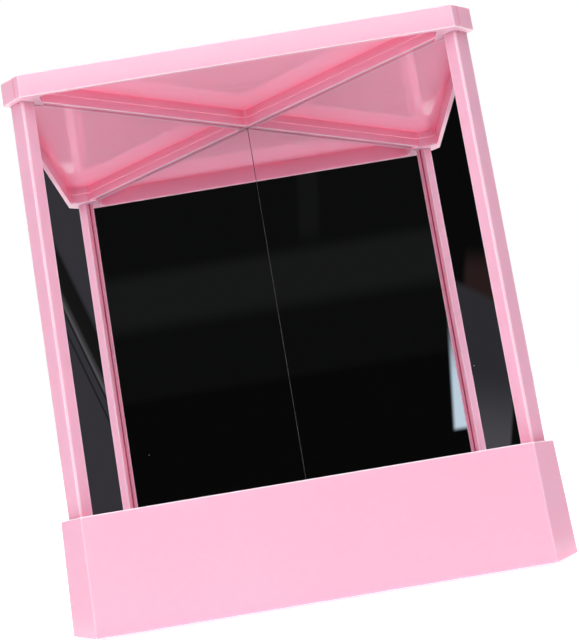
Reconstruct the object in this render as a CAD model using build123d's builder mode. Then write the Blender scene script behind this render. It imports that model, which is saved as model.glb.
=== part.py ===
from build123d import *
import os
from math import cos, radians, sin, sqrt, tan

# A desktop non-reversing mirror. Two mirror panes meet at a right angle along an upright seam at
# the back, so that each turns the other's picture round. A cap and a wedge-shaped base hold the
# two upright panels that carry the panes, and the wedge leans the whole column back.
#
# Sizes are in millimetres. Heights run up the leaning column, from the front bottom edge of the
# base. In plan, "along" is the distance from the seam along a pane and "depth" is the distance
# behind its mirror face, so what stands in front of the glass has a negative depth.

# Stance
lean = 14.0
foot_proud = 1.2
foot_radius = 4.5
foot_chamfer = 0.4
foot_socket = 0.5
foot_side_inset = 13.0
foot_front_inset = 13.0
foot_rear_inset = 15.5
foot_rear_spread = 7.2

# Panes
pane_reach = 134.4
pane_thick = 3.0
pane_tuck = 2.2
pane_arris = 0.1
seam_gap = 0.2
tape_thick = 1.0
tape_width = 14.0
tape_length = 150.0
tape_inset = 12.0

# Side panels
post_face = 6.6
post_proud = 3.0
panel_wall = 2.2
ledge_width = 5.0
groove_front_gap = 0.35
groove_end_gap = 0.4
post_front_round = 1.0
post_inner_round = 0.5
post_rear_round = 0.8

# Rear spine
core_reach = 7.8
arm_reach = 14.0
nose_gap = 0.3

# Heights up the column
base_height = 51.2
open_height = 186.6
cap_height = 10.9
top_plate = 1.8
rib_short = 0.75
rib_step_share = 0.5
deck_thick = 2.0

# Laps between the panels and the two mouldings
rebate = 1.5
lap_fit = 0.2
lap_shoulder_gap = 0.2
socket_gap = 0.3
top_gap = 0.3
catch_width = 12.0
catch_height = 1.6
catch_proud = 0.4
catch_inset = 30.0
catch_from_edge = 3.2
pocket_gap = 0.25

# Cap and base in plan
cap_front_cover = 5.1
cap_end_cover = 3.5
base_front_cover = 6.1
base_end_cover = 3.85
rear_cover = 0.7
rear_flat_width = 6.5
fascia_wall = 2.3
boss_lip = 3.3
rib_front = 2.7
rib_step = 0.5
rib_back_gap = 0.25
rib_flat_width = 2.3
recess_round = 2.8
draft = 1.1
base_wall = 2.4
blank_below = 6.0
edge_round = 1.0
rim_round = 0.5
lip_round = 0.4

# Bottom cover and its screws
cover_thick = 2.0
cover_inset = 0.6
cover_fit = 0.25
boss_radius = 3.4
pilot_radius = 1.25
screw_clearance_radius = 1.7
shank_radius = 1.2
shank_length = 8.0
head_radius = 2.8
head_height = 1.4
screw_side_inset = 32.0
screw_front_inset = 17.0
screw_rear_inset = 36.0
screw_rear_spread = 16.0

# Worked out from the sizes above
post_in = pane_reach
post_out = pane_reach + post_face
tape_back = pane_thick + tape_thick
panel_back = tape_back + panel_wall
half_wall = panel_back - panel_wall / 2
tongue_back = panel_back - rebate
wall_inside = tongue_back + lap_fit
rear_depth = panel_back + rear_cover
wall_skin = rear_depth - wall_inside
plate_start = core_reach + lap_fit
catch_starts = [plate_start + catch_inset, post_in - catch_inset - catch_width]

corner_y = (post_out + post_proud) / sqrt(2)
cap_front = corner_y + cap_front_cover
cap_end = post_out + cap_end_cover
base_front = corner_y + base_front_cover
base_end = post_out + base_end_cover
boss_x = (post_in - post_proud) / sqrt(2) - boss_lip
rear_flat = sqrt(2) * rear_depth - rear_flat_width / 2

cap_low = base_height + open_height
cap_top = cap_low + cap_height
ceiling = cap_top - top_plate
recess_depth = cap_height - top_plate
tray_floor = base_height - recess_depth
deck_under = tray_floor - deck_thick
panel_low = tray_floor
panel_top = ceiling - top_gap
panel_height = panel_top - panel_low
low_shoulder = base_height + lap_shoulder_gap
high_shoulder = cap_low - lap_shoulder_gap

# The leaning column's own directions, and the foot of its seam. The origin is under the middle
# of the whole object, on the surface that it stands on.
tilt = radians(lean)
across = Vector(1, 0, 0)
back = Vector(0, cos(tilt), -sin(tilt))
up = Vector(0, sin(tilt), cos(tilt))
flare = base_height * tan(radians(draft))
blank_flare = (base_height + blank_below) * tan(radians(draft))
front_reach = (base_front + flare) * cos(tilt)
rear_reach = (
    (rear_flat - edge_round) * cos(tilt) + (cap_top - edge_round) * sin(tilt) + edge_round
)
seam_foot = Vector(
    0, (front_reach - rear_reach) / 2, foot_proud - (base_front + flare) * sin(tilt)
)
front_edge_y = seam_foot.Y - front_reach
front_half_width = sqrt(2) * (base_end + flare) - (base_front + flare)
rear_low = (base_front + flare + rear_flat) * tan(tilt)
base_depth = front_reach + rear_flat * cos(tilt) + rear_low * sin(tilt)


def plan(height):
    """Level plane of the column at a height: x across, y to the back."""
    return Plane(origin=seam_foot + up * height, x_dir=across, z_dir=up)


def leg(height):
    """Plane of the right-hand pane at a height: x along the pane, y behind its face."""
    return Plane(origin=seam_foot + up * height, x_dir=across - back, z_dir=up)


def spot(along, depth):
    """Plan point of the right-hand leg, from its distance along the pane and its depth."""
    return ((along + depth) / sqrt(2), (depth - along) / sqrt(2))


def both_sides(right_points):
    """Closed outline from its right-hand half, listed from the front to the back."""
    left_points = [(-x, y) for x, y in reversed(right_points)]
    return right_points + [point for point in left_points if point not in right_points]


def outer_outline(front, end, rear, flat):
    """Plan of a moulding: front face, square-cut ends, leg walls and a narrow rear flat."""
    return both_sides(
        [
            (sqrt(2) * end - front, -front),
            spot(end, rear),
            (sqrt(2) * rear - flat, flat),
        ]
    )


def blank_outline(inset):
    """Plan of the foot of the base's drafted blank, a given distance inside its outer walls."""
    grow = blank_flare - inset
    return outer_outline(
        base_front + grow, base_end + grow, rear_depth + grow, rear_flat + grow
    )


def recess_outline(front, step):
    """Plan of the three-cornered recess between the fascia, the corner bosses and the ribs. The
    bosses and ribs stand in from their lower faces by a step."""
    rib_y = sqrt(2) * (rib_front + step)
    half_flat = rib_flat_width / 2
    side = boss_x - step
    return both_sides(
        [
            (side, -front),
            (side, -side - rib_y),
            (half_flat, -half_flat - rib_y),
        ]
    )


def mouth_outline(front):
    """Plan of the shallow mouth in which the ribs stop short of the outer edge."""
    return both_sides(
        [
            (boss_x, -front),
            (boss_x, sqrt(2) * wall_inside - boss_x),
            (sqrt(2) * wall_inside - (rear_flat - wall_skin), rear_flat - wall_skin),
        ]
    )


def recess_pockets(front):
    """Outlines and depths of the three stacked pockets that leave fascia, bosses and ribs."""
    step_depth = rib_short + (recess_depth - rib_short) * rib_step_share
    return [
        (mouth_outline(front), rib_short),
        (recess_outline(front, 0), step_depth),
        (recess_outline(front, rib_step), recess_depth),
    ]


def seat_outline():
    """Plan of the channels that take the panes, panels and spine, with the post sockets."""
    return both_sides(
        [
            spot(rib_back_gap, -rib_back_gap),
            spot(post_in - socket_gap, -rib_back_gap),
            spot(post_in - socket_gap, -post_proud - socket_gap),
            spot(post_out + socket_gap, -post_proud - socket_gap),
            spot(post_out + socket_gap, wall_inside),
            (sqrt(2) * wall_inside - (rear_flat - wall_skin), rear_flat - wall_skin),
        ]
    )


def strip(from_along, to_along, from_depth, to_depth):
    """Rectangle on a leg plane."""
    with Locations((from_along, from_depth)):
        Rectangle(to_along - from_along, to_depth - from_depth, align=(Align.MIN, Align.MIN))


def upright(edge):
    """True for an edge that runs up the column, to within the draft and a small margin."""
    margin = 2.0
    return abs((edge @ 1 - edge @ 0).normalized().dot(up)) > cos(radians(draft + margin))


# Top cap
with BuildPart() as top_cap:
    with BuildSketch(plan(cap_low)):
        with BuildLine():
            Polyline(*outer_outline(cap_front, cap_end, rear_depth, rear_flat), close=True)
        make_face()
    extrude(amount=cap_height)
    fillet(top_cap.edges().filter_by(upright), radius=edge_round)
    fillet(top_cap.faces().sort_by(Axis(seam_foot, up))[-1].edges(), radius=edge_round)
    fillet(top_cap.faces().sort_by(Axis(seam_foot, up))[0].edges(), radius=lip_round)
    for pocket_outline, pocket_depth in recess_pockets(cap_front - fascia_wall):
        with BuildSketch(plan(cap_low)) as pocket_plan:
            with BuildLine():
                Polyline(*pocket_outline, close=True)
            make_face()
            fillet(pocket_plan.vertices().group_by(Axis.Y)[0], radius=recess_round)
        extrude(amount=pocket_depth, mode=Mode.SUBTRACT)
    with BuildSketch(plan(cap_low)):
        with BuildLine():
            Polyline(*seat_outline(), close=True)
        make_face()
    extrude(amount=recess_depth, mode=Mode.SUBTRACT)
    for catch_start in catch_starts:
        with BuildSketch(leg(panel_top - catch_from_edge - catch_height - pocket_gap)):
            strip(
                catch_start - pocket_gap,
                catch_start + catch_width + pocket_gap,
                wall_inside - lap_fit,
                tongue_back + catch_proud + pocket_gap,
            )
        pocket = extrude(amount=catch_height + 2 * pocket_gap, mode=Mode.SUBTRACT)
        mirror(pocket, about=Plane.YZ, mode=Mode.SUBTRACT)
top_cap.part.label = "top_cap"

# Hollow under the deck of the base, less the screw bosses that hang down into it
boss_spots = [
    (front_half_width - screw_side_inset, front_edge_y + screw_front_inset),
    (screw_rear_spread, front_edge_y + base_depth - screw_rear_inset),
]
boss_spots += [(-x, y) for x, y in boss_spots]
cover_low = foot_proud + cover_inset
cover_top = cover_low + cover_thick
with BuildPart() as base_hollow:
    with BuildSketch(plan(-blank_below)):
        with BuildLine():
            Polyline(*blank_outline(base_wall), close=True)
        make_face()
    extrude(amount=deck_under + blank_below, taper=draft)
    with BuildSketch(Plane.XY.offset(cover_top)):
        with Locations(*boss_spots):
            Circle(boss_radius)
            Circle(pilot_radius, mode=Mode.SUBTRACT)
    extrude(amount=base_height, mode=Mode.SUBTRACT)

# Base shell
with BuildPart() as base_shell:
    with BuildSketch(plan(-blank_below)):
        with BuildLine():
            Polyline(*blank_outline(0), close=True)
        make_face()
    extrude(amount=base_height + blank_below, taper=draft)
    fillet(base_shell.edges().filter_by(upright), radius=edge_round)
    fillet(base_shell.faces().sort_by(Axis(seam_foot, up))[-1].edges(), radius=rim_round)
    split(bisect_by=Plane.XY.offset(foot_proud), keep=Keep.TOP)
    for pocket_outline, pocket_depth in recess_pockets(base_front - fascia_wall):
        with BuildSketch(plan(base_height)) as pocket_plan:
            with BuildLine():
                Polyline(*pocket_outline, close=True)
            make_face()
            fillet(pocket_plan.vertices().group_by(Axis.Y)[0], radius=recess_round)
        extrude(amount=-pocket_depth, mode=Mode.SUBTRACT)
    with BuildSketch(plan(base_height)):
        with BuildLine():
            Polyline(*seat_outline(), close=True)
        make_face()
    extrude(amount=-recess_depth, mode=Mode.SUBTRACT)
    for catch_start in catch_starts:
        with BuildSketch(leg(panel_low + catch_from_edge - pocket_gap)):
            strip(
                catch_start - pocket_gap,
                catch_start + catch_width + pocket_gap,
                wall_inside - lap_fit,
                tongue_back + catch_proud + pocket_gap,
            )
        pocket = extrude(amount=catch_height + 2 * pocket_gap, mode=Mode.SUBTRACT)
        mirror(pocket, about=Plane.YZ, mode=Mode.SUBTRACT)
    add(base_hollow.part, mode=Mode.SUBTRACT)
base_shell.part.label = "base_shell"

# Bottom cover
foot_spots = [
    (front_half_width - foot_side_inset, front_edge_y + foot_front_inset),
    (foot_rear_spread, front_edge_y + base_depth - foot_rear_inset),
]
foot_spots += [(-x, y) for x, y in foot_spots]
with BuildPart() as base_cover:
    with BuildSketch(plan(-blank_below)):
        with BuildLine():
            Polyline(*blank_outline(base_wall + cover_fit), close=True)
        make_face()
    extrude(amount=deck_under + blank_below, taper=draft)
    split(bisect_by=Plane.XY.offset(cover_low), keep=Keep.TOP)
    split(bisect_by=Plane.XY.offset(cover_top), keep=Keep.BOTTOM)
    with BuildSketch(Plane.XY.offset(cover_low)):
        with Locations(*foot_spots):
            Circle(foot_radius)
    extrude(amount=foot_socket, mode=Mode.SUBTRACT)
    with BuildSketch(Plane.XY.offset(cover_low)):
        with Locations(*boss_spots):
            Circle(screw_clearance_radius)
    extrude(amount=cover_thick, mode=Mode.SUBTRACT)
base_cover.part.label = "base_cover"

# Rubber feet
foot_names = ["front_right_foot", "rear_right_foot", "front_left_foot", "rear_left_foot"]
feet = {}
for foot_name, foot_spot in zip(foot_names, foot_spots):
    with BuildPart() as foot:
        with BuildSketch():
            with Locations(foot_spot):
                Circle(foot_radius)
        extrude(amount=cover_low + foot_socket)
        chamfer(foot.edges().sort_by(Axis.Z)[0], length=foot_chamfer)
    foot.part.label = foot_name
    feet[foot_name] = foot.part

# Cover screws
with BuildPart() as cover_screws:
    with BuildSketch(Plane.XY.offset(cover_low - head_height)):
        with Locations(*boss_spots):
            Circle(head_radius)
    extrude(amount=head_height)
    with BuildSketch(Plane.XY.offset(cover_low)):
        with Locations(*boss_spots):
            Circle(shank_radius)
    extrude(amount=shank_length)
cover_screws.part.label = "cover_screws"

# Right-hand side panel: a post with a glass groove, a thin wall and a ledge behind the pane
with BuildPart() as right_panel:
    groove_end = post_in + pane_tuck + groove_end_gap
    with BuildSketch(leg(panel_low)) as panel_section:
        with BuildLine():
            Polyline(
                (plate_start, pane_thick),
                (plate_start + ledge_width, pane_thick),
                (plate_start + ledge_width, tape_back),
                (post_in - ledge_width, tape_back),
                (post_in - ledge_width, pane_thick),
                (groove_end, pane_thick),
                (groove_end, -groove_front_gap),
                (post_in, -groove_front_gap),
                (post_in, -post_proud),
                (post_out, -post_proud),
                (post_out, panel_back),
                (arm_reach + lap_fit, panel_back),
                (arm_reach + lap_fit, half_wall),
                (plate_start, half_wall),
                close=True,
            )
        make_face()
        post_end = panel_section.vertices().group_by(Axis.X)[-1]
        fillet(post_end.sort_by(Axis.Y)[-1], radius=post_rear_round)
        rim_corners = panel_section.vertices().group_by(Axis.Y)[0]
        fillet(rim_corners.sort_by(Axis.X)[-1], radius=post_front_round)
        rim_corners = panel_section.vertices().group_by(Axis.Y)[0]
        fillet(rim_corners.sort_by(Axis.X)[0], radius=post_inner_round)
    extrude(amount=panel_height)
    for ledge_low in (panel_low, panel_top - ledge_width):
        with BuildSketch(leg(ledge_low)):
            strip(plate_start, post_in, pane_thick, tape_back)
        extrude(amount=ledge_width)
    for lap_low, lap_high in ((panel_low, low_shoulder), (high_shoulder, panel_top)):
        with BuildSketch(leg(lap_low)):
            strip(plate_start, post_out, tongue_back, panel_back)
        extrude(amount=lap_high - lap_low, mode=Mode.SUBTRACT)
    for catch_low in (
        panel_low + catch_from_edge,
        panel_top - catch_from_edge - catch_height,
    ):
        for catch_start in catch_starts:
            with BuildSketch(leg(catch_low)):
                strip(
                    catch_start, catch_start + catch_width, tape_back, tongue_back + catch_proud
                )
            extrude(amount=catch_height)
right_panel.part.label = "right_panel"

# Left-hand side panel
with BuildPart() as left_panel:
    mirror(right_panel.part, about=Plane.YZ)
left_panel.part.label = "left_panel"

# Mirror panes
with BuildPart() as right_pane:
    with BuildSketch(leg(panel_low)):
        strip(seam_gap / 2, post_in + pane_tuck, 0, pane_thick)
    extrude(amount=panel_height)
    pane_face = right_pane.faces().sort_by(Axis(seam_foot, across + back))[0]
    chamfer(pane_face.edges(), length=pane_arris)
right_pane.part.label = "right_pane"

with BuildPart() as left_pane:
    mirror(right_pane.part, about=Plane.YZ)
left_pane.part.label = "left_pane"

# Foam tape behind each pane
with BuildPart() as right_tape:
    tape_first = plate_start + ledge_width + tape_inset
    tape_last = post_in - ledge_width - tape_inset - tape_width
    tape_starts = [tape_first, (tape_first + tape_last) / 2, tape_last]
    with BuildSketch(leg((panel_low + panel_top - tape_length) / 2)):
        for tape_start in tape_starts:
            strip(tape_start, tape_start + tape_width, pane_thick, tape_back)
    extrude(amount=tape_length)
right_tape.part.label = "right_tape"

with BuildPart() as left_tape:
    mirror(right_tape.part, about=Plane.YZ)
left_tape.part.label = "left_tape"

# Rear spine: a core behind the seam and two arms that lap over the panels' walls
with BuildPart() as rear_spine:
    spine_flat = rear_flat - rear_cover
    for core_back, core_low, core_high in (
        (tongue_back, panel_low, panel_top),
        (panel_back, low_shoulder, high_shoulder),
    ):
        core_flat = spine_flat - (panel_back - core_back)
        with BuildSketch(plan(core_low)):
            with BuildLine():
                Polyline(
                    *both_sides(
                        [
                            spot(-nose_gap, nose_gap),
                            spot(-nose_gap, pane_thick),
                            spot(core_reach, pane_thick),
                            spot(core_reach, core_back),
                            (sqrt(2) * core_back - core_flat, core_flat),
                        ]
                    ),
                    close=True,
                )
            make_face()
        extrude(amount=core_high - core_low)
    with BuildSketch(leg(low_shoulder)):
        strip(pane_thick, arm_reach, half_wall + lap_fit / 2, panel_back)
    arm = extrude(amount=high_shoulder - low_shoulder)
    mirror(arm, about=Plane.YZ)
rear_spine.part.label = "rear_spine"

os.makedirs("parts", exist_ok=True)
pieces = [
    top_cap.part,
    base_shell.part,
    base_cover.part,
    cover_screws.part,
    right_panel.part,
    left_panel.part,
    right_pane.part,
    left_pane.part,
    right_tape.part,
    left_tape.part,
    rear_spine.part,
] + list(feet.values())
for piece in pieces:
    export_step(piece, "parts/" + piece.label + ".step")
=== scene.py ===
from math import cos, pi, radians, sin, sqrt

import bpy
import numpy as np
from mathutils import Matrix, Vector


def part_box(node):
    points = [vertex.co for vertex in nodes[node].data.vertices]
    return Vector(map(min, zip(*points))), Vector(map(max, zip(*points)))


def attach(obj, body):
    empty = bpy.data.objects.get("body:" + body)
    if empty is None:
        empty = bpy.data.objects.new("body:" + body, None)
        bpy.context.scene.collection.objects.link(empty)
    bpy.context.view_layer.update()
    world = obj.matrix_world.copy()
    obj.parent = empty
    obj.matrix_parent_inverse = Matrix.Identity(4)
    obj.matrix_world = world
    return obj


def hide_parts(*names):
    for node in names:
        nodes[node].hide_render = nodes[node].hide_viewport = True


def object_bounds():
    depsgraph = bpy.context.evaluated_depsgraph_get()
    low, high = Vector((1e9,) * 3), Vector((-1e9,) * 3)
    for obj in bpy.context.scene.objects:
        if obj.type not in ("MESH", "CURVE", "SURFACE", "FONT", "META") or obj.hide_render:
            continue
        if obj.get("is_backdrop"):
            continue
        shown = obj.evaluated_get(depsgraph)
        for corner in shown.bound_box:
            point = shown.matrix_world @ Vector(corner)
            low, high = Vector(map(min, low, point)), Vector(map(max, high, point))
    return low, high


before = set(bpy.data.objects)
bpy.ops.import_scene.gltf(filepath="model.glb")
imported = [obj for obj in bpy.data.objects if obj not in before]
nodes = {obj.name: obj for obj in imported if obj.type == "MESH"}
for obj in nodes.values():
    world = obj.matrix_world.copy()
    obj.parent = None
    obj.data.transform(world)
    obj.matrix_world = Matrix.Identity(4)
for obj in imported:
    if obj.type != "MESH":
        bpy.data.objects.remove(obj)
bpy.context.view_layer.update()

# Base, cap, side panels, spine and bottom cover.
# These are injection mouldings in pale pink gloss ABS. They leave a polished steel tool, so the
# skin is smooth with a faint orange peel, and the colour drifts slightly where the melt flowed.
PINK = (0.985, 0.54, 0.7)
PINK_FLOW = (0.98, 0.52, 0.68)
# The next two colours are a painted highlight for edges and a painted shade for corners.
PINK_HIGHLIGHT = (1.0, 0.86, 0.92)
SHADE_RED = (1.0, 0.12, 0.25)
LEAN = radians(14.0)
COLUMN_BACK = Vector((0, cos(LEAN), -sin(LEAN)))
COLUMN_UP = Vector((0, sin(LEAN), cos(LEAN)))
PANES = (("right_pane", 1.0), ("left_pane", -1.0))


class Wire:
    """An output socket in a material. Arithmetic on it adds Math nodes."""

    def __init__(self, socket):
        self.socket = socket

    def node(self, kind, settings=None, inputs=None, output=0):
        """A new node in the same material: its settings first, then its sockets' values or links."""
        tree = self.socket.id_data
        made = tree.nodes.new("ShaderNode" + kind)
        for name, value in (settings or {}).items():
            if name == "stops":
                stops = made.color_ramp.elements
                stops.remove(stops[1])
                stops[0].position, stops[0].color = value[0]
                for position, colour in value[1:]:
                    stops.new(position).color = colour
            else:
                setattr(made, name, value)
        for name, value in (inputs or {}).items():
            if isinstance(value, Wire):
                tree.links.new(value.socket, made.inputs[name])
            else:
                made.inputs[name].default_value = value
        return Wire(made.outputs[output])

    def maths(self, operation, first, second):
        """A Math node on two values or wires."""
        return self.node("Math", {"operation": operation}, {0: first, 1: second})

    def __add__(self, other):
        return self.maths("ADD", self, other)

    def __sub__(self, other):
        return self.maths("SUBTRACT", self, other)

    def __mul__(self, other):
        return self.maths("MULTIPLY", self, other)

    def __lt__(self, other):
        return self.maths("LESS_THAN", self, other)

    def __gt__(self, other):
        return self.maths("GREATER_THAN", self, other)

    def __rsub__(self, other):
        return self.maths("SUBTRACT", other, self)

    __radd__ = __add__
    __rmul__ = __mul__

    def most(self, other):
        """The larger of two wires."""
        return self.maths("MAXIMUM", self, other)

    def between(self, start, end):
        """1 between start and end, and 0 elsewhere."""
        return (self > start) * (self < end)

    def fade(self, start, end):
        """0 before start and 1 past end, with a smooth passage between them."""
        return self.node(
            "MapRange",
            {"interpolation_type": "SMOOTHSTEP"},
            {"Value": self, "From Min": start, "From Max": end},
        )

    def blend(self, first, second):
        """A colour that goes from the first to the second as this wire goes from 0 to 1."""
        return self.node(
            "Mix", {"data_type": "RGBA"}, {"Factor": self, 6: first, 7: second}, output=2
        )


def rgba(colour):
    """A colour with full alpha."""
    return (*colour, 1.0)


def new_finish(name):
    """An empty material, with a wire that holds a point's place on the object, in metres."""
    finish = bpy.data.materials.new(name)
    finish.use_nodes = True
    tree = finish.node_tree
    tree.nodes.clear()
    place = tree.nodes.new("ShaderNodeTexCoord").outputs["Object"]
    return finish, Wire(place)


def set_surface(finish, shader):
    """Gives a material the shader that a wire holds."""
    tree = finish.node_tree
    end = tree.nodes.new("ShaderNodeOutputMaterial")
    tree.links.new(shader.socket, end.inputs["Surface"])


def paint(names, finish):
    """Gives CAD nodes one material."""
    for name in names:
        slots = nodes[name].material_slots
        slots[0].material = finish


def along_way(place, way):
    """How far a point lies along a direction, as a wire."""
    return place.node("VectorMath", {"operation": "DOT_PRODUCT"}, {0: place, 1: way}, output=1)


def free_space(place, reach, samples=6, **settings):
    """The share of the directions from a point that meet nothing within reach, from 0 to 1."""
    settings["samples"] = samples
    return place.node("AmbientOcclusion", settings, {"Distance": reach}, output=1)


def first_along(name, way):
    """The least distance of a CAD node's points along a direction."""
    mesh = nodes[name].data
    points = np.empty(3 * len(mesh.vertices))
    mesh.vertices.foreach_get("co", points)
    return float((points.reshape(-1, 3) @ np.array(way)).min())


def pane_face(name, side):
    """The direction into a pane's glass, and how far along it the pane's mirror face lies."""
    inward = Vector((side, cos(LEAN), -sin(LEAN))).normalized()
    return inward, first_along(name, inward)


# The mirror faces meet at the seam, a root of 2 times as far back as each face is from the origin.
SEAM_BACK = sqrt(2) * pane_face(*PANES[0])[1]

# Edges are painted pale: a painted highlight where the gloss rounds off and would catch the light.
PLAN_TURNS = (0.0, 45.0, 90.0, 135.0)
FLAT_WITHIN = (radians(9.0), radians(5.0))
EDGE_HIGHLIGHT_WIDTH = 0.0006
EDGE_REACH = 0.0012
WALL_SAMPLES = 8
ROUNDING_THIN = (0.01, 0.05)
CORNER_THIN = (0.05, 0.12)
CORNER_TURN = (0.02, 0.1)
EDGE_FREE = (0.6, 0.9)
SKY_FREE = (0.7, 0.95)
SHELTER_LOSS = 0.25


def off_flats(facing):
    """1 on the roundings of the skin and 0 on its flat faces.

    For each direction that the flat faces look in, the squared cosine between it and the face
    goes through a smooth step, and one minus each step is multiplied together.
    """
    steep, flush = (cos(angle) ** 2 for angle in FLAT_WITHIN)
    ways = [Vector((sin(a), 0, 0)) + cos(a) * COLUMN_BACK for a in map(radians, PLAN_TURNS)]
    off = 1
    for way in (*ways, COLUMN_UP, Vector((0, 0, 1))):
        along = along_way(facing, way)
        off = off * (1 - (along * along).fade(steep, flush))
    return off


def painted_edge_highlight(place, facing, space, sky):
    """How much painted highlight the skin gets along its edges, from 0 to 1.

    It is the roundings with little wall behind them, plus the corners at which a softened normal
    turns away from the face, times the free space in front, and less where the sky is hidden.
    """
    thin = 1 - free_space(place, EDGE_REACH, WALL_SAMPLES, inside=True, only_local=True)
    softened = place.node("Bevel", {"samples": 6}, {"Radius": EDGE_HIGHLIGHT_WIDTH})
    corners = (1 - along_way(facing, softened)).fade(*CORNER_TURN) * thin.fade(*CORNER_THIN)
    roundings = off_flats(facing) * thin.fade(*ROUNDING_THIN)
    in_the_open = 1 - SHELTER_LOSS + SHELTER_LOSS * sky.fade(*SKY_FREE)
    return (roundings + corners) * space.fade(*EDGE_FREE) * in_the_open


# Painted shade: corners and the grooves beside the panes are painted a deeper red, standing in for
# dim light that goes to and fro between pink walls.
CORNER_REACH = 0.01
CORNER_SHADE = 0.35
TIGHT_SPACE = (0.5, 0.88)
HIDDEN_SKY = (0.1, 0.7)
GROOVE_SHADE = 0.8
GROOVE_DEPTH = 0.0004
GROOVE_SPACE = (0.7, 0.95)
GROOVE_TOP = 0.222
UPRIGHT_WITHIN = (0.2, 0.4)


def painted_corner_shade(space, sky, upright):
    """How much painted shade reddens the skin in corners, from 0 to the corner share of shade.

    It is the larger of two smooth steps: one rises on upright faces as the space close by
    fills up, and the other as the sky is hidden.
    """
    tight = CORNER_SHADE * upright * (1 - space.fade(*TIGHT_SPACE))
    shelter = CORNER_SHADE * (1 - sky).fade(*HIDDEN_SKY)
    return shelter.most(tight)


def glass_groove(place, fronts, space, upright):
    """1 on the wall of the groove that a pane stands in, in front of the seam and below the cap,
    where painted shade goes.

    It starts just behind the mirror face, fades in front of it, and needs a neighbour close by.
    """
    right, left = (
        (front > -GROOVE_DEPTH) * (1 - front.fade(GROOVE_DEPTH, 2 * GROOVE_DEPTH))
        for front in fronts
    )
    groove = upright * right.most(left) * (1 - space.fade(*GROOVE_SPACE))
    below_cap = along_way(place, COLUMN_UP) < GROOVE_TOP
    return groove * below_cap * (along_way(place, COLUMN_BACK) < SEAM_BACK)


# The two ribs under the cap have a painted highlight on their lower edges and painted shade on their
# sides, and the cap's rim has a painted highlight.
RIB_FRONT = 0.0027
RIB_STEP = 0.0005
RIB_SHORT = 0.00075
RIB_LINE = 0.0004
RIB_HIGHLIGHT = 0.55
RIB_SHADE = 0.28
RIM_LINE = 0.0004
RIM_HIGHLIGHT = 0.3


def rib_lines(place, fronts, upright):
    """Masks of the ribs' lower edges, of their sides, and of the rim of the cap, for painted light.

    Each is a band of distances in front of either mirror face, of heights above the ribs' lower
    faces, or of both.
    """
    above = along_way(place, COLUMN_UP) - first_along("top_cap", COLUMN_UP) - RIB_SHORT
    edges = [f.between(RIB_FRONT - 2 * RIB_LINE, RIB_FRONT + RIB_LINE / 2) for f in fronts]
    sides = [f.between(RIB_FRONT - RIB_LINE / 2, RIB_FRONT + 2 * RIB_STEP) for f in fronts]
    edge = edges[0].most(edges[1]) * above.between(-RIB_LINE, RIB_LINE)
    side = sides[0].most(sides[1]) * upright * (above > RIB_LINE)
    rim = above.between(-RIB_SHORT - RIM_LINE / 2, RIM_LINE - RIB_SHORT)
    return edge, side, rim


FLOW_SCALE = 9.0
FLOW_DRIFT = (0.35, 0.65)
PEEL_SCALE = 520.0
PEEL_HEIGHT = 0.0004
PEEL_STRENGTH = 0.02
HAZE_SCALE = 38.0
HAZE = 0.03
EDGE_ROUND = 0.0003
PLASTIC_IOR = 1.5
GLOW_SHARE = 0.7
GLOW_DEPTH = 0.006
GLOW_COLOUR = (0.8, 0.25, 0.3)

pink_abs, place = new_finish("pink_abs")
facing = place.node("NewGeometry", output=1)
space = free_space(place, EDGE_REACH)
sky = free_space(place, CORNER_REACH)
along_column = along_way(facing, COLUMN_UP)
upright = 1 - (along_column * along_column).fade(*UPRIGHT_WITHIN)
fronts = []
for name, side in PANES:
    inward, face_at = pane_face(name, side)
    fronts.append(face_at - along_way(place, inward))
rib_highlight, rib_side_shade, rim = rib_lines(place, fronts, upright)

flow = place.node("TexNoise", inputs={"Vector": place, "Scale": FLOW_SCALE, "Detail": 2.0})
pink = flow.fade(*FLOW_DRIFT).blend(rgba(PINK), rgba(PINK_FLOW))
# Painted highlight along edges, on the ribs' lower edges and on the cap's rim.
painted_highlight = painted_edge_highlight(place, facing, space, sky).most(RIB_HIGHLIGHT * rib_highlight).most(RIM_HIGHLIGHT * rim)
# Painted shade in corners and on the ribs' sides.
painted_shade = (painted_corner_shade(space, sky, upright) + RIB_SHADE * rib_side_shade) * (1 - rib_highlight) * (1 - rim)
# Painted shade on the walls of the grooves that hold the panes.
groove_shade = GROOVE_SHADE * glass_groove(place, fronts, space, upright)
shaded = painted_shade.blend(painted_highlight.blend(pink, rgba(PINK_HIGHLIGHT)), rgba(SHADE_RED))

peel = place.node("TexNoise", inputs={"Vector": place, "Scale": PEEL_SCALE, "Detail": 1.0})
haze = place.node("TexNoise", inputs={"Vector": place, "Scale": HAZE_SCALE, "Detail": 3.0})
rounded = place.node("Bevel", {"samples": 6}, {"Radius": EDGE_ROUND})
skin = place.node(
    "Bump",
    inputs={
        "Height": peel,
        "Strength": PEEL_STRENGTH,
        "Distance": PEEL_HEIGHT,
        "Normal": rounded,
    },
)
set_surface(
    pink_abs,
    place.node(
        "BsdfPrincipled",
        {"subsurface_method": "BURLEY"},
        {
            "Base Color": groove_shade.blend(shaded, rgba(SHADE_RED)),
            "Roughness": HAZE + HAZE * haze,
            "IOR": PLASTIC_IOR,
            "Subsurface Weight": GLOW_SHARE,
            "Subsurface Radius": GLOW_COLOUR,
            "Subsurface Scale": GLOW_DEPTH,
            "Normal": skin,
        },
    ),
)
paint(
    ["base_shell", "top_cap", "right_panel", "left_panel", "rear_spine", "base_cover"], pink_abs
)

# Foam tape.
# Six strips of white closed-cell foam behind the panes hold the glass to the panels.
FOAM_WHITE = (0.86, 0.86, 0.83)
FOAM_SHADE = (0.62, 0.62, 0.58)
FOAM_CELLS = 1400.0
FOAM_RELIEF = 0.0002

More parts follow.
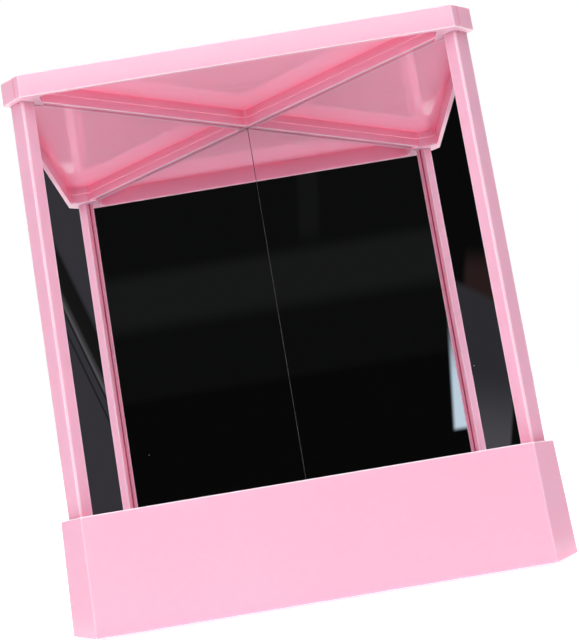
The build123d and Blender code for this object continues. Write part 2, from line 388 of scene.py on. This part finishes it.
foam, place = new_finish("white_foam")
cells = place.node("TexVoronoi", {"feature": "F1"}, {"Vector": place, "Scale": FOAM_CELLS})
foam_skin = place.node("Bump", inputs={"Height": cells, "Strength": 0.5, "Distance": FOAM_RELIEF})
set_surface(
    foam,
    place.node(
        "BsdfPrincipled",
        inputs={
            "Base Color": cells.fade(0.0, 0.6).blend(rgba(FOAM_SHADE), rgba(FOAM_WHITE)),
            "Roughness": 0.9,
            "Normal": foam_skin,
        },
    ),
)
paint(["right_tape", "left_tape"], foam)

# Mirror panes.
# Each is float glass silvered on its front face, so that the seam stays thin. Its edges and its
# back have a dark sealing paint, and a few pale specks of dust lie on the silver.
SILVER = (0.9, 0.915, 0.92)
EDGE_PAINT = (0.018, 0.019, 0.02)
GROUND_EDGE = (0.075, 0.076, 0.078)
DUST = (0.42, 0.43, 0.43)
SILVER_DEPTH = 0.00001
GROUND_DEPTH = 0.00012
DUST_CELLS = 46.0
DUST_SIZE = 0.011
DUST_PICK = 0.6
PAINT_ROUGHNESS = 0.5
SMEAR_ROUGHNESS = 0.01

for name, side in PANES:
    inward, face_at = pane_face(name, side)
    silvered, place = new_finish("silvered_" + name)
    into_glass = along_way(place, inward) - face_at
    is_silver = into_glass < SILVER_DEPTH
    cell = {"Vector": place, "Scale": DUST_CELLS, "Randomness": 1.0}
    from_speck = place.node("TexVoronoi", {"feature": "F1"}, cell)
    cell_colour = place.node("TexVoronoi", {"feature": "F1"}, cell, output=1)
    pick = cell_colour.node("SeparateColor", inputs={"Color": cell_colour})
    speck = (from_speck < DUST_SIZE) * (pick > DUST_PICK)
    clean = is_silver * (1 - speck)
    edge = (into_glass < GROUND_DEPTH).blend(rgba(EDGE_PAINT), rgba(GROUND_EDGE))
    dull = (is_silver * speck).blend(edge, rgba(DUST))
    smear = place.node("TexNoise", inputs={"Vector": place, "Scale": 14.0, "Detail": 4.0})
    set_surface(
        silvered,
        place.node(
            "BsdfPrincipled",
            inputs={
                "Base Color": clean.blend(dull, rgba(SILVER)),
                "Metallic": clean,
                "Roughness": PAINT_ROUGHNESS * (1 - clean) + clean * SMEAR_ROUGHNESS * smear,
            },
        ),
    )
    paint([name], silvered)

# Seam bead.
# A thin uneven grey bead fills the slot between the two panes' ground edges. Its grey is a painted
# glint that stands in for the light the ground edges catch, and shows as the fine grey line in the
# middle of the mirror.
GLINT_GREY = (0.085, 0.08, 0.082)
BEAD_HALF_WIDTH = 0.00015
BEAD_SWELL = 0.12
BEAD_WAVES = (900, 370)
BEAD_ROWS = 200
BEAD_ROUNDS = 24


def skins(name, grids):
    """A mesh of closed skins, one for each grid of points.

    The columns of a grid go once round an axis and its rows run from one end to the other. Four
    neighbours in the grid make a face, and each end row is closed by one small face.
    """
    copies, rows, columns = grids.shape[:3]
    index = np.arange(copies * rows * columns).reshape(copies, rows, columns)
    beside = np.roll(index, -1, axis=2)
    quads = np.stack([index[:, :-1], beside[:, :-1], beside[:, 1:], index[:, 1:]], axis=-1)
    faces = quads.reshape(-1, 4).tolist() + index[:, 0, ::-1].tolist() + index[:, -1].tolist()
    mesh = bpy.data.meshes.new(name)
    mesh.from_pydata(grids.reshape(-1, 3), [], faces)
    mesh.shade_smooth()
    made = bpy.data.objects.new(name, mesh)
    bpy.context.scene.collection.objects.link(made)
    return made


def glint_bead_grid(lowest, highest):
    """The skin of the grey bead in the seam, between two heights along the column.

    Each row is an ellipse round the seam. Its half width is the line's own, swelled by the product
    of two sines of the height, and its half depth is the line's half width.
    """
    rise = np.linspace(lowest, highest, BEAD_ROWS)[:, None]
    turn = np.linspace(0, 2 * pi, BEAD_ROUNDS, endpoint=False)
    first, second = (np.sin(rise * waves) for waves in BEAD_WAVES)
    across = BEAD_HALF_WIDTH * (1 + BEAD_SWELL * first * second) * np.cos(turn)
    back = SEAM_BACK + BEAD_HALF_WIDTH * np.sin(turn) + 0 * rise
    column_axes = np.array([(1, 0, 0), COLUMN_BACK, COLUMN_UP])
    return np.stack([across, back, rise + 0 * back], axis=-1) @ column_axes


seam_glint, place = new_finish("painted_glint_grey")
bead_mottle = place.node("TexNoise", inputs={"Vector": place, "Scale": 700.0, "Detail": 2.0})
set_surface(
    seam_glint,
    place.node(
        "BsdfPrincipled",
        inputs={
            "Base Color": bead_mottle.fade(0.3, 0.7).blend(rgba(EDGE_PAINT), rgba(GLINT_GREY)),
            "Roughness": 0.35 + 0.2 * bead_mottle,
        },
    ),
)
foot_of_pane = first_along("right_pane", COLUMN_UP)
top_of_pane = -first_along("right_pane", -COLUMN_UP)
seam_glint_bead = skins("seam_glint_bead", glint_bead_grid(foot_of_pane, top_of_pane)[None])
seam_glint_bead.data.materials.append(seam_glint)
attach(seam_glint_bead, "root")

# Rubber feet.
# Four pads of clear grey silicone, moulded with a round lower edge and a gate dimple, and glued
# into shallow sockets in the bottom cover. The mirror stands on them.
SILICONE = (0.68, 0.68, 0.68)
SILICONE_SHADE = (0.55, 0.55, 0.55)
FOOT_ROUND = 0.0007
DIMPLE_RADIUS = 0.0012
DIMPLE_DEPTH = 0.00025
DIMPLE_RINGS = 8
ROUND_RINGS = 12
POLE_SHARE = 0.04
ROUND_STEPS = 64


def stand_in(piece, finish, node):
    """A piece that takes the place of a CAD node, with its finish."""
    piece.data.materials.append(finish)
    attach(piece, "root")
    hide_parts(node)


def foot_grid(low, high):
    """The skin of a foot in its box, from the middle of its underside to the middle of its top.

    Its radius and height go up the dimple, a parabola, then round the lower edge, a quarter of a
    circle, and then up the side and in over the flat top.
    """
    reach = (high.x - low.x) / 2
    out = np.linspace(POLE_SHARE, 1, DIMPLE_RINGS)
    turn = np.linspace(0, pi / 2, ROUND_RINGS)
    edge_radius = reach - FOOT_ROUND * (1 - np.sin(turn))
    edge_height = FOOT_ROUND * (1 - np.cos(turn))
    top_radius = [reach, POLE_SHARE * DIMPLE_RADIUS]
    radius = np.concatenate([out * DIMPLE_RADIUS, edge_radius, top_radius])[:, None]
    height = np.concatenate([DIMPLE_DEPTH * (1 - out**2), edge_height, [high.z, high.z]])[:, None]
    x = (low.x + high.x) / 2 + radius * np.cos(around)
    y = (low.y + high.y) / 2 + radius * np.sin(around)
    return np.stack([x, y, height + 0 * around], axis=-1)


rubber, place = new_finish("grey_silicone")
grain = place.node("TexNoise", inputs={"Vector": place, "Scale": 1800.0, "Detail": 2.0})
rubber_skin = place.node("Bump", inputs={"Height": grain, "Strength": 0.2, "Distance": 0.0001})
set_surface(
    rubber,
    place.node(
        "BsdfPrincipled",
        inputs={
            "Base Color": grain.blend(rgba(SILICONE_SHADE), rgba(SILICONE)),
            "Roughness": 0.45 + 0.2 * grain,
            "Normal": rubber_skin,
        },
    ),
)
around = np.linspace(0, 2 * pi, ROUND_STEPS, endpoint=False)
for name in ("front_right_foot", "front_left_foot", "rear_right_foot", "rear_left_foot"):
    foot = skins("moulded_" + name, foot_grid(*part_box(name))[None])
    stand_in(foot, rubber, name)

# Cover screws.
# Four zinc-plated self-tapping screws with pan heads and cross recesses go up through the bottom
# cover into bosses of the base. Their threads cut their own way into the plastic.
ZINC = (0.8, 0.8, 0.78)
ZINC_BLOOM = (0.62, 0.63, 0.64)
HEAD_HEIGHT = 0.0014
HEAD_RADIUS = 0.0028
HEAD_POWER = 3
CORE_RADIUS = 0.00105
THREAD_RADIUS = 0.0014
THREAD_PITCH = 0.0011
TIP_LENGTH = 0.002
TIP_SHARE = 0.05
RECESS_ARM = 0.0014
RECESS_WIDTH = 0.00045
RECESS_DEPTH = 0.0009
RECESS_SLOPE = 0.0002
RECESS_RINGS = (0.01, 0.56, 30)
RIM_RINGS = (0.6, 1, 16)
SHANK_RINGS = 96
REAR_SPREAD = 0.016

zinc, place = new_finish("zinc_plate")
bloom = place.node("TexNoise", inputs={"Vector": place, "Scale": 900.0, "Detail": 3.0})
set_surface(
    zinc,
    place.node(
        "BsdfPrincipled",
        inputs={
            "Base Color": bloom.blend(rgba(ZINC_BLOOM), rgba(ZINC)),
            "Metallic": 1.0,
            "Roughness": 0.22 + 0.2 * bloom,
        },
    ),
)


def screw_grid(length, turned_by):
    """The skin of one screw about its own axis, from the middle of its head to its tip.

    The head's height falls off from its middle as one minus a superellipse, less a cross whose
    depth falls to nothing at its arms' sides and ends. The shank's radius is the core's plus a
    ridge that peaks once each turn and pitch, and both taper to the tip.
    """
    head_out = np.concatenate([np.linspace(*RECESS_RINGS), np.linspace(*RIM_RINGS)])[:, None]
    across = head_out * HEAD_RADIUS * np.cos(around)
    along = head_out * HEAD_RADIUS * np.sin(around)
    spin = np.stack([across, along])
    arm = RECESS_ARM - np.abs(spin).max(axis=0)
    side = RECESS_WIDTH - np.abs(spin).min(axis=0)
    cross = RECESS_DEPTH * np.clip(np.minimum(arm, side) / RECESS_SLOPE, 0, 1)
    head = HEAD_HEIGHT * (1 - (1 - head_out**HEAD_POWER) ** (1 / HEAD_POWER)) + cross
    rise = np.linspace(0, length, SHANK_RINGS)[:, None]
    phase = (rise / THREAD_PITCH - around / (2 * pi)) % 1
    ridge = np.clip(1 - np.abs(phase - 0.5) * 4, 0, 1)
    taper = np.clip((length - rise) / TIP_LENGTH, TIP_SHARE, 1)
    shank = (CORE_RADIUS + (THREAD_RADIUS - CORE_RADIUS) * ridge) * taper
    radius = np.concatenate([head_out * HEAD_RADIUS + 0 * around, shank])
    height = np.concatenate([head, HEAD_HEIGHT + rise + 0 * around])
    angle = around + turned_by
    return np.stack([radius * np.cos(angle), radius * np.sin(angle), height], axis=-1)


low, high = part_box("cover_screws")
front_x = high.x - HEAD_RADIUS
screws = [
    screw_grid(high.z - low.z - HEAD_HEIGHT, turned_by) + np.array([x, y, low.z])
    for x, y, turned_by in (
        (front_x, low.y + HEAD_RADIUS, 0.3),
        (-front_x, low.y + HEAD_RADIUS, 1.2),
        (REAR_SPREAD, high.y - HEAD_RADIUS, 0.8),
        (-REAR_SPREAD, high.y - HEAD_RADIUS, 0.1),
    )
]
stand_in(skins("threaded_screws", np.stack(screws)), zinc, "cover_screws")

# Table, dark room and lamps, none of them part of the object.
# The table is white and fades into a white sweep. Three dark walls stand in front of the mirror
# and at its sides, where only a reflection sees them, because it was shown in a dark room.
FLOOR_SIZE = 6.0
TABLE_GLOW = 0.6
TABLE_WHITE = (0.86, 0.86, 0.86)
SWEEP_STARTS = (0.25, 0.55)
WHITE = (1.0, 1.0, 1.0)
CAMERA_RAY = 0
GLOSSY_RAY = 3
THROUGH_RAY = 6


def card(name, corners):
    """A flat four-cornered card."""
    mesh = bpy.data.meshes.new(name)
    mesh.from_pydata([Vector(c) for c in corners], [], [range(4)])
    made = bpy.data.objects.new(name, mesh)
    bpy.context.scene.collection.objects.link(made)
    made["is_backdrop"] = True
    return made


half = FLOOR_SIZE / 2
table = card("table", [(-half, -half, 0), (half, -half, 0), (half, half, 0), (-half, half, 0)])
table_white, place = new_finish("table_white")
from_mirror = place.node("VectorMath", {"operation": "LENGTH"}, {0: place}, output=1)
seen = place.node("LightPath", output=CAMERA_RAY)
mirrored = place.node("LightPath", output=GLOSSY_RAY)
diffuse = place.node("BsdfDiffuse", inputs={"Color": rgba(TABLE_WHITE)})
lift = place.node("Emission", inputs={"Color": rgba(WHITE), "Strength": TABLE_GLOW})
near = place.node("AddShader", inputs={0: diffuse, 1: lift})
shown = (seen + mirrored) > 0.5
far = place.node(
    "Emission", inputs={"Color": rgba(WHITE), "Strength": TABLE_GLOW + (1 - TABLE_GLOW) * shown}
)
set_surface(
    table_white,
    place.node("MixShader", inputs={0: from_mirror.fade(*SWEEP_STARTS), 1: near, 2: far}),
)
table.data.materials.append(table_white)

ROOM_REACH = 1.3
ROOM_HEIGHT = 1.25
SIDES_END = 0.3


def hang(name, corners, finish, colour):
    """A card that glows in its own colour, a wire, and that only a reflection sees."""
    made = card(name, corners)
    set_surface(finish, colour.node("Emission", inputs={"Color": colour}))
    made.data.materials.append(finish)
    made.visible_camera = False
    made.visible_diffuse = False
    made.visible_transmission = False
    made.visible_volume_scatter = False
    made.visible_shadow = False


def grey(level):
    """A neutral colour of a given level."""
    return (level, level, level, 1.0)


def axis(place, number):
    """A point's X, Y or Z, for the numbers 0, 1 and 2."""
    return place.node("SeparateXYZ", inputs={"Vector": place}, output=number)


r, h = ROOM_REACH, ROOM_HEIGHT

# The front wall is black cloth with a dim shelf light across it, a narrow streak above that and
# a window's edge at the left. Uprights lean a little, as the camera saw them.
FRONT_LEAN = 0.14
FRONT_PIVOT = 0.5
CLOTH_GREY = 0.0027
CLOTH_LIT = 0.0045
CLOTH_STEP = (0.6, 0.615)
SHELF_STARTS = (0.7, 0.735)
SHELF_ENDS = (0.785, 0.815)
SHELF_GREY = 0.0105
STREAK_STARTS = (-0.046, -0.036)
STREAK_ENDS = (-0.016, -0.006)
STREAK_FOOT = (0.8, 0.84)
STREAK_SHARE = 0.55
WINDOW_EDGE = (-0.2255, -0.2185)
WINDOW_SILL = (0.487, 0.496)
WINDOW_FADES = (0.555, 0.67)
WINDOW_LEFT = -0.3
WINDOW_BLUE = (0.62, 0.73, 0.84)
WINDOW_DUSK = (0.05, 0.055, 0.07)

finish, place = new_finish("front_wall")
across = axis(place, 0)
level = axis(place, 2)
upright = across + FRONT_LEAN * (level - FRONT_PIVOT)
cloth = level.fade(*CLOTH_STEP).blend(grey(CLOTH_GREY), grey(CLOTH_LIT))
shelf = level.fade(*SHELF_STARTS) * (1 - level.fade(*SHELF_ENDS))
streak = upright.fade(*STREAK_STARTS) * (1 - upright.fade(*STREAK_ENDS)) * level.fade(*STREAK_FOOT)
dim = (shelf + STREAK_SHARE * streak).blend(cloth, grey(SHELF_GREY))
window = (1 - upright.fade(*WINDOW_EDGE)) * level.fade(*WINDOW_SILL) * (across > WINDOW_LEFT)
window_light = level.fade(*WINDOW_FADES).blend(rgba(WINDOW_BLUE), rgba(WINDOW_DUSK))
hang(
    "front_wall",
    [(-r, -r, 0), (r, -r, 0), (r, -r, h), (-r, -r, h)],
    finish,
    window.blend(dim, window_light),
)

# The right wall is grey cloth, with the black gap and the bright edge of a curtain. The curtain's
# stops are shares of its width, from its front edge to its rear one.
WALL_GREY = (0.0375, 0.035, 0.042)
CURTAIN_LEAN = 0.055
CURTAIN_PIVOT = 0.4
CURTAIN_START = -0.16
CURTAIN_WIDTH = 0.05

finish, place = new_finish("right_wall")
upright = axis(place, 1) + CURTAIN_LEAN * (axis(place, 2) - CURTAIN_PIVOT) - CURTAIN_START
curtain = place.node(
    "ValToRGB",
    {
        "stops": [
            (0.11, rgba(WALL_GREY)),
            (0.15, grey(0.008)),
            (0.18, rgba(WALL_GREY)),
            (0.295, rgba(WALL_GREY)),
            (0.33, grey(0.004)),
            (0.385, (0.1, 0.095, 0.1, 1)),
            (0.43, (0.055, 0.05, 0.055, 1)),
            (0.53, grey(0.009)),
            (0.83, grey(0.008)),
            (0.94, rgba(WALL_GREY)),
        ]
    },
    {"Fac": upright * (1 / CURTAIN_WIDTH)},
)
hang(
    "right_wall",
    [(r, -r, 0), (r, SIDES_END, 0), (r, SIDES_END, h), (r, -r, h)],
    finish,
    curtain,
)

# The left wall is black above and grey below, with a brown smudge between, and it ends in front.
SMUDGE_ENDS = (-0.147, -0.137)
SMUDGE_TOP = (0.405, 0.445)
SMUDGE_BROWN = (0.023, 0.0125, 0.0125)
ABOVE_GREY = 0.003
END_GREY = 0.004
GREY_RISE = (0.17, 0.28)
GREY_FOOT = (0.07, 0.066, 0.073)
GREY_HEAD = (0.0275, 0.026, 0.03)
GREY_SLOPE = 0.4
GREY_TOP = (0.437, 0.449)
WALL_ENDS = (-0.219, -0.214)

finish, place = new_finish("left_wall")
deep = axis(place, 1)
level = axis(place, 2)
smudge = (1 - deep.fade(*SMUDGE_ENDS)) * (1 - level.fade(*SMUDGE_TOP))
above = smudge.blend(grey(ABOVE_GREY), rgba(SMUDGE_BROWN))
grey_wall = level.fade(*GREY_RISE).blend(rgba(GREY_FOOT), rgba(GREY_HEAD))
lower = (level - GREY_SLOPE * deep).fade(*GREY_TOP).blend(grey_wall, above)
hang(
    "left_wall",
    [(-r, -r, 0), (-r, SIDES_END, 0), (-r, SIDES_END, h), (-r, -r, h)],
    finish,
    deep.fade(*WALL_ENDS).blend(grey(END_GREY), lower),
)

# Two low dark boards stand on the table beside the mirror, where the cap's underside sees them.
BOARD_SPOT = 0.6
BOARD_REACH = 0.4
BOARD_HEIGHT = 0.095
BOARD_FOOT_GREY = 0.035
BOARD_TOP_GREY = 0.03
for name, side in (("right_board", 1.0), ("left_board", -1.0)):
    finish, place = new_finish(name)
    x, y, top = side * BOARD_SPOT, BOARD_REACH, BOARD_HEIGHT
    board_grey = axis(place, 2).fade(0, top).blend(grey(BOARD_FOOT_GREY), grey(BOARD_TOP_GREY))
    hang(name, [(x, -y, 0), (x, y, 0), (x, y, top), (x, -y, top)], finish, board_grey)

LAMP_AIM = Vector((0.0, 0.0, 0.12))


def lamp(name, spot, size, level):
    """A softbox that lights a surface turned to it at the object to a given level of white.

    Its power is that level times pi squared times the square of its distance.
    """
    data = bpy.data.lights.new(name, "AREA")
    data.shape = "RECTANGLE"
    data.size, data.size_y = size
    away = Vector(spot) - LAMP_AIM
    data.energy = level * pi * pi * away.length_squared
    made = bpy.data.objects.new(name, data)
    made.rotation_mode = "QUATERNION"
    made.rotation_quaternion = away.to_track_quat("Z", "Y")
    made.location = spot
    bpy.context.scene.collection.objects.link(made)


lamp("key_softbox", (-0.75, -0.75, 0.48), (0.7, 0.8), 0.32)
lamp("fill_softbox", (0.78, -0.63, 0.6), (0.6, 0.8), 0.13)
lamp("front_softbox", (0.0, -0.8, 1.05), (1.2, 0.55), 0.34)
lamp("overhead_softbox", (0.0, -0.1, 1.2), (1.2, 0.9), 0.62)
lamp("rear_softbox", (0.0, 0.9, 0.45), (1.0, 0.6), 0.35)

# The world is the white sweep: the camera, reflections and glass see it, and it gives no light.
world = bpy.data.worlds.new("white_sweep")
bpy.context.scene.world = world
world.use_nodes = True
world_tree = world.node_tree
world_tree.nodes.clear()
seen = Wire(world_tree.nodes.new("ShaderNodeLightPath").outputs[CAMERA_RAY])
mirrored = seen.node("LightPath", output=GLOSSY_RAY)
through = seen.node("LightPath", output=THROUGH_RAY)
shown = (seen + mirrored + through) > 0.5
sweep = seen.node("Background", inputs={"Color": rgba(WHITE), "Strength": shown})
world_end = world_tree.nodes.new("ShaderNodeOutputWorld")
world_tree.links.new(sweep.socket, world_end.inputs["Surface"])

# Camera.
# It stands where the photograph was taken from, and is turned about its own axis as there.
CAMERA_SPOT = (-0.00433, -0.73653, 0.17199)
CAMERA_YAW = radians(-0.672)
CAMERA_PITCH = radians(-4.609)
CAMERA_ROLL = radians(-9.343)
SENSOR_WIDTH = 36.0
LENS_LENGTH = 89.449

camera_data = bpy.data.cameras.new("camera")
camera_data.sensor_width = SENSOR_WIDTH
camera_data.lens = LENS_LENGTH
camera = bpy.data.objects.new("camera", camera_data)
bpy.context.scene.collection.objects.link(camera)
bpy.context.scene.camera = camera
camera.matrix_world = (
    Matrix.Translation(CAMERA_SPOT)
    @ Matrix.Rotation(CAMERA_YAW, 4, "Z")
    @ Matrix.Rotation(pi / 2 + CAMERA_PITCH, 4, "X")
    @ Matrix.Rotation(CAMERA_ROLL, 4, "Z")
)
bpy.context.scene.view_settings.view_transform = "Standard"

low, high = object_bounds()
